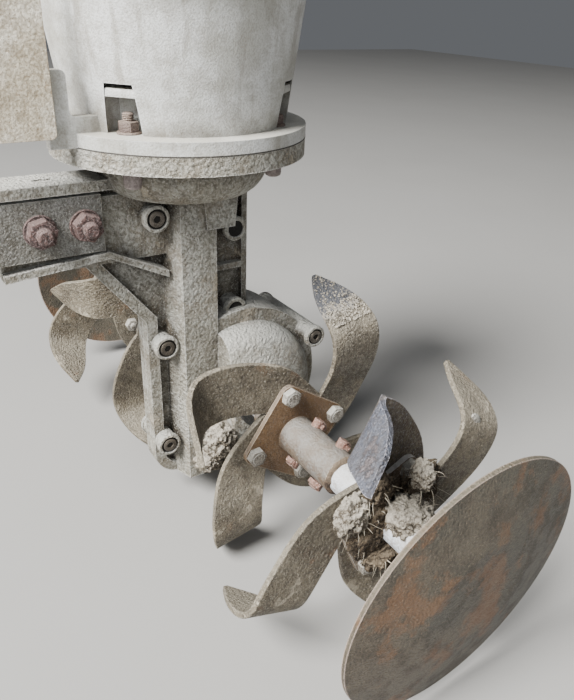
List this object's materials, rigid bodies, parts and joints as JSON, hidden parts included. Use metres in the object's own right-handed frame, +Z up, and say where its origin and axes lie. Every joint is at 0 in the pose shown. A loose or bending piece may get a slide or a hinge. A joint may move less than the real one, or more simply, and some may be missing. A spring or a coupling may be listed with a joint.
{
  "type": "tiller gear unit with tine rotor",
  "caption": "Lower unit of a petrol tiller: bell housing over a split gear case with a drawbar tail, and a cross rotor of bent soil tines between dished end discs.",
  "frame": {"origin": "centre of the engine face on top of the bell housing, on the upright input shaft's line", "axes": "+X to the machine's right, +Y forward, +Z up; the rotor turns about a line along X, 0.415 m below the origin and 0.049 m ahead of it"},
  "size_m": [0.7252, 0.4363, 0.5483],
  "materials": {
    "bell_casting": "worn, dusty",
    "case_casting": "worn, dusty",
    "handlebar_plate": "worn",
    "drawbar_steel": "worn",
    "seal_rubber": "matte",
    "drum_steel": "turned",
    "rotor_paint": "worn",
    "pin_steel": "rough",
    "tine_steel": "worn",
    "disc_paint": "worn"
  },
  "bodies": {
    "gear_unit": {"bell_housing": "bell_casting", "gear_case_right": "case_casting", "gear_case_left": "case_casting", "handlebar_cheek_right": "handlebar_plate", "handlebar_cheek_left": "handlebar_plate", "drawbar_plate_right": "drawbar_steel", "drawbar_plate_left": "drawbar_steel", "shaft_seal_right": "seal_rubber", "shaft_seal_left": "seal_rubber", "clutch_drum": "drum_steel"},
    "rotor": {"inner_hub_right": "rotor_paint", "inner_hub_left": "rotor_paint", "outer_hub_right": "rotor_paint", "outer_hub_left": "rotor_paint", "rotor_shaft": "rotor_paint", "inner_pin_right": "pin_steel", "inner_pin_left": "pin_steel", "outer_pin_right": "pin_steel", "outer_pin_left": "pin_steel", "inner_tine_right_1": "tine_steel", "inner_tine_right_2": "tine_steel", "inner_tine_right_3": "tine_steel", "inner_tine_right_4": "tine_steel", "inner_tine_left_1": "tine_steel", "inner_tine_left_2": "tine_steel", "inner_tine_left_3": "tine_steel", "inner_tine_left_4": "tine_steel", "outer_tine_right_1": "tine_steel", "outer_tine_right_2": "tine_steel", "outer_tine_right_3": "tine_steel", "outer_tine_right_4": "tine_steel", "outer_tine_left_1": "tine_steel", "outer_tine_left_2": "tine_steel", "outer_tine_left_3": "tine_steel", "outer_tine_left_4": "tine_steel", "end_disc_right": "disc_paint", "end_disc_left": "disc_paint"}
  },
  "joints": [
    {"name": "rotor_spin", "type": "hinge", "parent": "gear_unit", "child": "rotor", "pos_m": [0, 0.049, -0.415], "axis": [1, 0, 0], "continuous": true}
  ]
}
